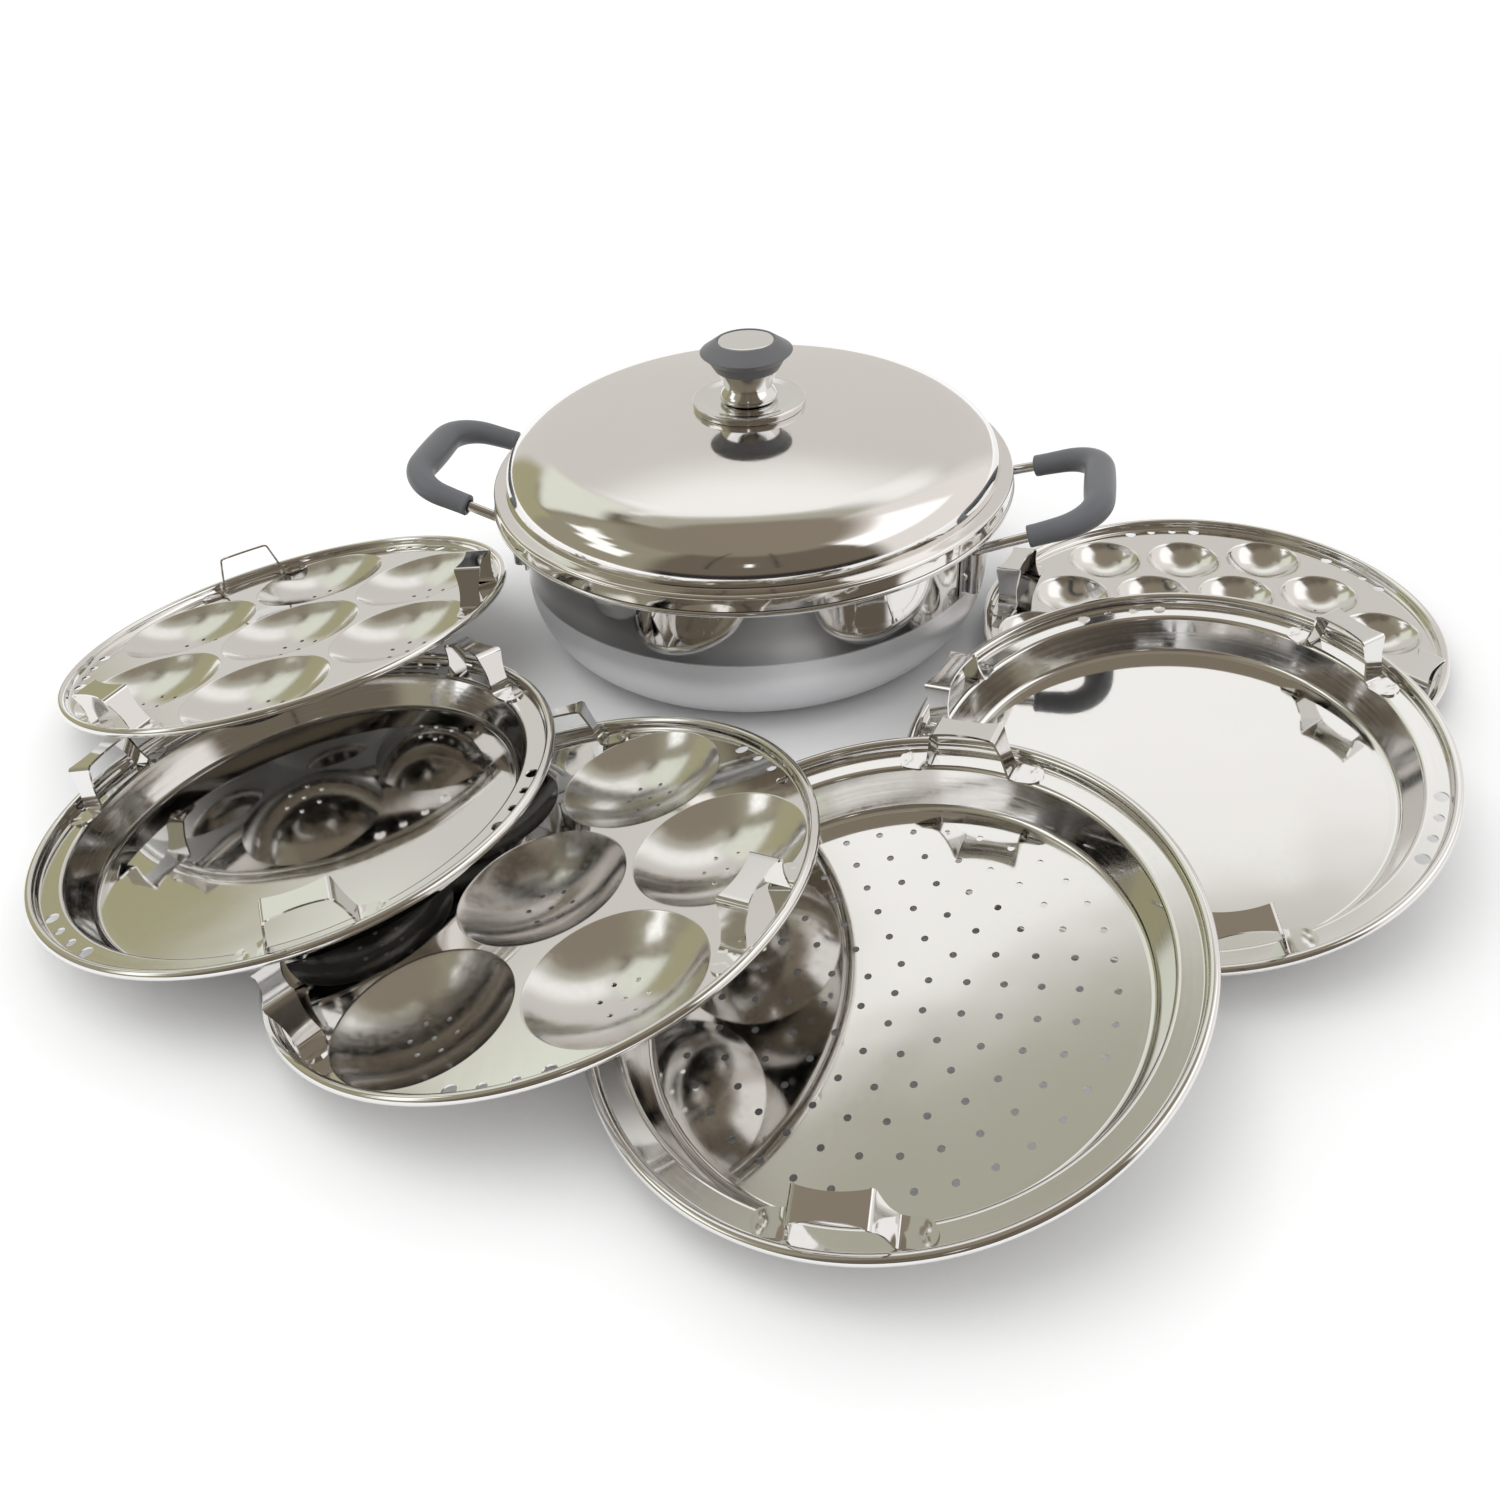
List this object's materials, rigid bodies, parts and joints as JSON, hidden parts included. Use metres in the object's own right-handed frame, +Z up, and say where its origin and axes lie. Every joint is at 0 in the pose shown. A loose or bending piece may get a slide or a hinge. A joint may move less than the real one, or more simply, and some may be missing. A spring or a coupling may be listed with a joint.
{
  "type": "idli steamer",
  "caption": "Steel idli steamer: a lidded pot with side handles, with idli, mini idli, perforated and deep plates laid out in a row round it.",
  "frame": {"origin": "middle of the pot's base, on the floor", "axes": "+X to the right along the row of plates, -Y towards the front plates, +Z up along the pot's axis"},
  "size_m": [0.7844, 0.6233, 0.1723],
  "materials": {
    "pot_steel": "mirror-polished upper wall and rim, satin rounded bottom",
    "lid_steel": "mirror-polished stainless steel",
    "plate_steel": "polished stainless steel",
    "lug_steel": "polished stainless strip",
    "knob_steel": "polished stainless steel",
    "bracket_steel": "satin stainless steel",
    "soft_grey": "matt soft-touch grey"
  },
  "bodies": {
    "pot": {"pot_body": "pot_steel", "handle_rod_right": "knob_steel", "handle_rod_left": "knob_steel", "handle_grip_right": "soft_grey", "handle_grip_left": "soft_grey", "brackets_right": "bracket_steel", "brackets_left": "bracket_steel", "rivets_right": "bracket_steel", "rivets_left": "bracket_steel"},
    "lid": {"lid_shell": "lid_steel", "knob_skirt": "knob_steel", "knob_neck": "knob_steel", "knob_flare": "knob_steel", "knob_cap": "soft_grey", "knob_insert": "knob_steel", "knob_screw": "bracket_steel", "knob_washer": "bracket_steel"},
    "mini": {"mini_plate": "plate_steel", "mini_lug_1": "lug_steel", "mini_lug_2": "lug_steel"},
    "right_tray": {"tray_right": "plate_steel", "tray_right_lug_1": "lug_steel", "tray_right_lug_2": "lug_steel", "tray_right_lug_3": "lug_steel"},
    "perforated": {"steam_tray": "plate_steel", "steam_tray_lug_1": "lug_steel", "steam_tray_lug_2": "lug_steel"},
    "front_idli": {"idli_plate_front": "plate_steel", "idli_front_lug_1": "lug_steel", "idli_front_lug_2": "lug_steel", "idli_front_lug_3": "lug_steel"},
    "left_tray": {"tray_left": "plate_steel", "tray_left_lug_1": "lug_steel", "tray_left_lug_2": "lug_steel", "tray_left_lug_3": "lug_steel"},
    "left_idli": {"idli_plate_left": "plate_steel", "idli_left_lug_1": "lug_steel", "idli_left_lug_2": "lug_steel", "idli_left_lug_3": "lug_steel"}
  },
  "joints": [
    {"name": "lid_lift", "type": "slide", "parent": "pot", "child": "lid", "axis": [0, 0, 1], "range_m": [0, 0.22]},
    {"name": "mini_out", "type": "slide", "parent": "pot", "child": "mini", "axis": [0, -0.9404, 0.3401], "range_m": [0, 0.2]},
    {"name": "right_tray_off", "type": "slide", "parent": "mini", "child": "right_tray", "axis": [0.0995, -0.796, 0.597], "range_m": [0, 0.15]},
    {"name": "perforated_off", "type": "slide", "parent": "right_tray", "child": "perforated", "axis": [-0.0995, -0.796, 0.597], "range_m": [0, 0.15]},
    {"name": "front_idli_off", "type": "slide", "parent": "perforated", "child": "front_idli", "axis": [-0.2039, -0.7645, 0.6116], "range_m": [0, 0.15]},
    {"name": "left_tray_off", "type": "slide", "parent": "front_idli", "child": "left_tray", "axis": [-0.4467, -0.4963, 0.7444], "range_m": [0, 0.15]},
    {"name": "left_idli_off", "type": "slide", "parent": "left_tray", "child": "left_idli", "axis": [-0.3549, -0.7098, 0.6084], "range_m": [0, 0.15]}
  ]
}
